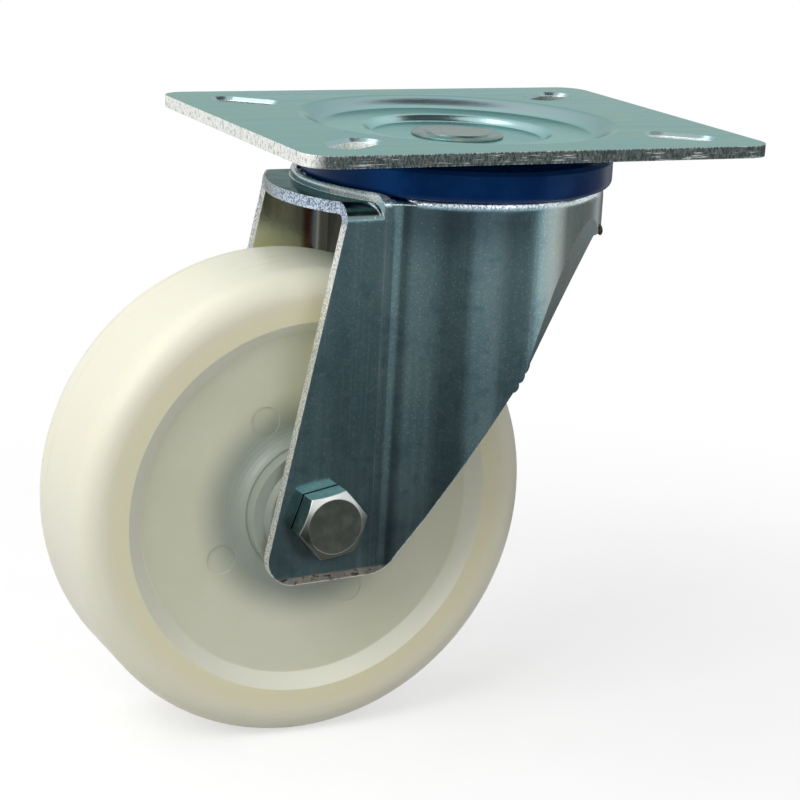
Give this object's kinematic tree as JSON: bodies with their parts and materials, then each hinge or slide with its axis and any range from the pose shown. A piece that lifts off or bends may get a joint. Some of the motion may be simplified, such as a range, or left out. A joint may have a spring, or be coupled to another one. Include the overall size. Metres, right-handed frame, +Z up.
{
  "type": "swivel plate castor",
  "caption": "Swivel castor with a slotted top plate, a ball-bearing swivel head under a blue dust seal, a pressed steel fork and a solid nylon wheel.",
  "frame": {"origin": "on the swivel axis, at the flat top face of the plate", "axes": "+Z up out of the plate, X along the plate's length with the wheel trailing towards -X, Y along the axle with the bolt's head towards -Y"},
  "size_m": [0.221, 0.135, 0.205],
  "materials": {
    "zinc_plate": "blue-passivated zinc plating, slightly cloudy",
    "zinc_fork": "blue-passivated zinc plating over a pressed sheet, with fine scratches",
    "zinc_bolt": "zinc plating",
    "bearing_steel": "ground and polished",
    "blue_plastic": "moulded, satin",
    "ivory_nylon": "moulded, slightly translucent, lightly scuffed",
    "white_plastic": "moulded, satin",
    "black_plastic": "moulded"
  },
  "bodies": {
    "plate": {"top_plate": "zinc_plate", "kingpin": "zinc_plate", "lower_race": "zinc_plate"},
    "swivel_fork": {"fork": "zinc_fork", "dust_seal": "blue_plastic", "axle_bolt": "zinc_bolt", "axle_sleeve": "bearing_steel", "nut_washer": "zinc_bolt", "lock_nut": "zinc_bolt", "lock_nut_insert": "blue_plastic"},
    "rolling_wheel": {"wheel": "ivory_nylon", "near_bearing_cover": "white_plastic", "far_bearing_cover": "white_plastic"},
    "upper_ball_set": {"upper_balls": "bearing_steel"},
    "lower_ball_set": {"lower_balls": "bearing_steel"},
    "roller_set": {"roller_cage": "black_plastic", "rollers": "bearing_steel"}
  },
  "joints": [
    {"name": "swivel", "type": "hinge", "parent": "plate", "child": "swivel_fork", "pos_m": [0, 0, 0], "axis": [0, 0, 1], "continuous": true},
    {"name": "wheel_spin", "type": "hinge", "parent": "swivel_fork", "child": "rolling_wheel", "pos_m": [-0.0585, 0, -0.125], "axis": [0, 1, 0], "continuous": true},
    {"name": "upper_orbit", "type": "hinge", "parent": "plate", "child": "upper_ball_set", "pos_m": [0, 0, 0], "axis": [0, 0, 1], "continuous": true},
    {"name": "lower_orbit", "type": "hinge", "parent": "plate", "child": "lower_ball_set", "pos_m": [0, 0, 0], "axis": [0, 0, 1], "continuous": true},
    {"name": "roller_orbit", "type": "hinge", "parent": "swivel_fork", "child": "roller_set", "pos_m": [-0.0585, 0, -0.125], "axis": [0, 1, 0], "continuous": true}
  ],
  "couplings": [
    {"joint": "upper_orbit", "follows": "swivel", "ratio": 0.5},
    {"joint": "lower_orbit", "follows": "swivel", "ratio": 0.5},
    {"joint": "roller_orbit", "follows": "wheel_spin", "ratio": 0.5996}
  ]
}
